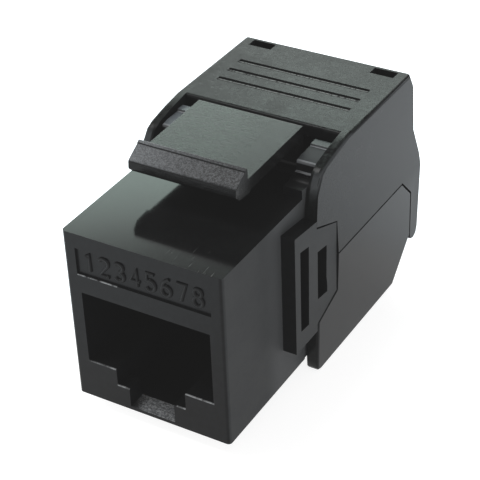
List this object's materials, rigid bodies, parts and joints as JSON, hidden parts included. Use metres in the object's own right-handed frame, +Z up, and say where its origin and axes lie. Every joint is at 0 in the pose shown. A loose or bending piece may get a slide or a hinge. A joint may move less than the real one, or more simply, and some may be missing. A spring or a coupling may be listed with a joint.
{
  "type": "keystone jack",
  "caption": "Tool-less keystone jack: a black box with a modular plug port, a sprung top latch, and two hinged wiring covers closed round a cable entry.",
  "frame": {"origin": "middle of the footprint, on the surface that the jack stands on, 1.2 mm under the front block", "axes": "+Y from the port towards the cable, +X to the right seen from the port, +Z up towards the latch"},
  "size_m": [0.0174, 0.0318, 0.0218],
  "materials": {
    "housing_plastic": "semi-gloss moulded black plastic",
    "latch_plastic": "fine-grained moulded black plastic with a textured bar",
    "cover_plastic": "satin moulded black plastic",
    "carrier_plastic": "satin black plastic",
    "block_plastic": "satin black plastic",
    "guide_plastic": "satin black plastic",
    "board_laminate": "green solder mask on glass laminate",
    "contact_gold": "gold-plated spring bronze",
    "terminal_tin": "tin-plated bronze"
  },
  "bodies": {
    "housing": {"front_housing": "housing_plastic", "contact_carrier": "carrier_plastic", "circuit_board": "board_laminate", "upper_terminal_block": "block_plastic", "lower_terminal_block": "block_plastic", "cable_guide": "guide_plastic", "contact_spring_1": "contact_gold", "idc_terminal_1": "terminal_tin", "contact_spring_2": "contact_gold", "idc_terminal_2": "terminal_tin", "contact_spring_3": "contact_gold", "idc_terminal_3": "terminal_tin", "contact_spring_4": "contact_gold", "idc_terminal_4": "terminal_tin", "contact_spring_5": "contact_gold", "idc_terminal_5": "terminal_tin", "contact_spring_6": "contact_gold", "idc_terminal_6": "terminal_tin", "contact_spring_7": "contact_gold", "idc_terminal_7": "terminal_tin", "contact_spring_8": "contact_gold", "idc_terminal_8": "terminal_tin"},
    "latch": {"keystone_latch": "latch_plastic"},
    "top_cover": {"upper_cover": "cover_plastic"},
    "bottom_cover": {"lower_cover": "cover_plastic"}
  },
  "joints": [
    {"name": "latch_press", "type": "hinge", "parent": "housing", "child": "latch", "pos_m": [0, 0.00047, 0.01765], "axis": [1, 0, 0], "range_deg": [0, 12], "stiffness_Nm_per_rad": 0.05},
    {"name": "upper_cover_hinge", "type": "hinge", "parent": "housing", "child": "top_cover", "pos_m": [0, -0.00202, 0.0173], "axis": [1, 0, 0], "range_deg": [0, 75]},
    {"name": "lower_cover_hinge", "type": "hinge", "parent": "housing", "child": "bottom_cover", "pos_m": [0, -0.00202, 0.00205], "axis": [1, 0, 0], "range_deg": [-75, 0]}
  ],
  "couplings": [
    {"joint": "lower_cover_hinge", "follows": "upper_cover_hinge", "ratio": -1}
  ]
}
